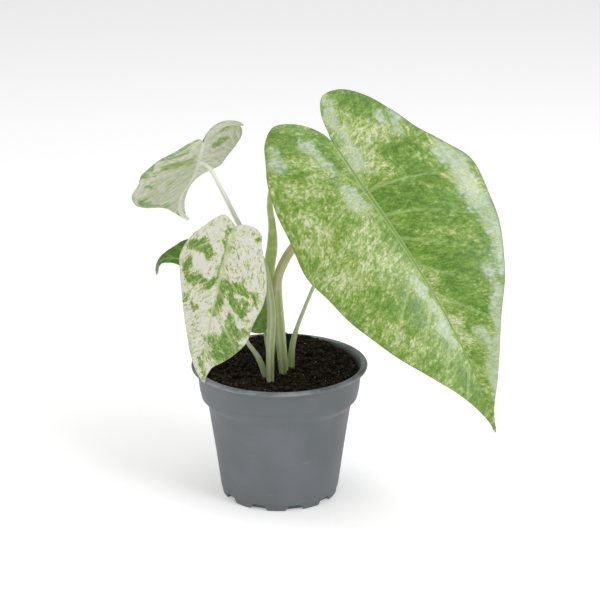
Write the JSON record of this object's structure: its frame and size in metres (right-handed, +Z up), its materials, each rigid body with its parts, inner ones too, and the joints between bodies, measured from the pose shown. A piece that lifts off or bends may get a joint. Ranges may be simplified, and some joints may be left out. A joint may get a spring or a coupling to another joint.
{
  "type": "potted camouflage giant taro",
  "caption": "Young giant taro with large arrow-shaped leaves mottled green and cream on slim stalks, growing from dark soil in a tapered round plastic nursery pot.",
  "frame": {"origin": "on the pot's axis, at the flat middle of its floor, which stands on the surface", "axes": "+Z up along the pot's axis; the plant's front, as it is looked at, faces -Y; +X is to the right, towards the big leaf"},
  "size_m": [0.2438, 0.2093, 0.2766],
  "materials": {
    "pot_plastic": "matt grey-blue moulded polypropylene",
    "potting_soil": "dark moist peat with pale perlite specks",
    "big_leaf_blade": "satin living leaf, mid green with fine pale speckle and silvery patches",
    "big_leaf_stalk": "smooth satin living stalk, tan olive",
    "pale_leaf_blade": "satin living leaf, cream and grey green with green patches",
    "pale_leaf_stalk": "smooth satin living stalk, whitish green",
    "front_leaf_blade": "satin living leaf, cream with green patches",
    "front_leaf_stalk": "smooth satin living stalk, light green",
    "small_leaf_blade": "satin living leaf, mid green",
    "small_leaf_stalk": "smooth satin living stalk, light green",
    "rear_leaf_blade": "satin living leaf, mid green with pale speckle",
    "rear_leaf_stalk": "smooth satin living stalk, light green",
    "new_leaf_roll": "satin rolled young leaf, fresh green"
  },
  "bodies": {
    "root": {"pot": "pot_plastic", "soil": "potting_soil", "big_leaf_blade": "big_leaf_blade", "big_leaf_stalk": "big_leaf_stalk", "pale_leaf_blade": "pale_leaf_blade", "pale_leaf_stalk": "pale_leaf_stalk", "front_leaf_blade": "front_leaf_blade", "front_leaf_stalk": "front_leaf_stalk", "small_leaf_blade": "small_leaf_blade", "small_leaf_stalk": "small_leaf_stalk", "rear_leaf_blade": "rear_leaf_blade", "rear_leaf_stalk": "rear_leaf_stalk", "new_leaf_roll": "new_leaf_roll"}
  },
  "joints": []
}
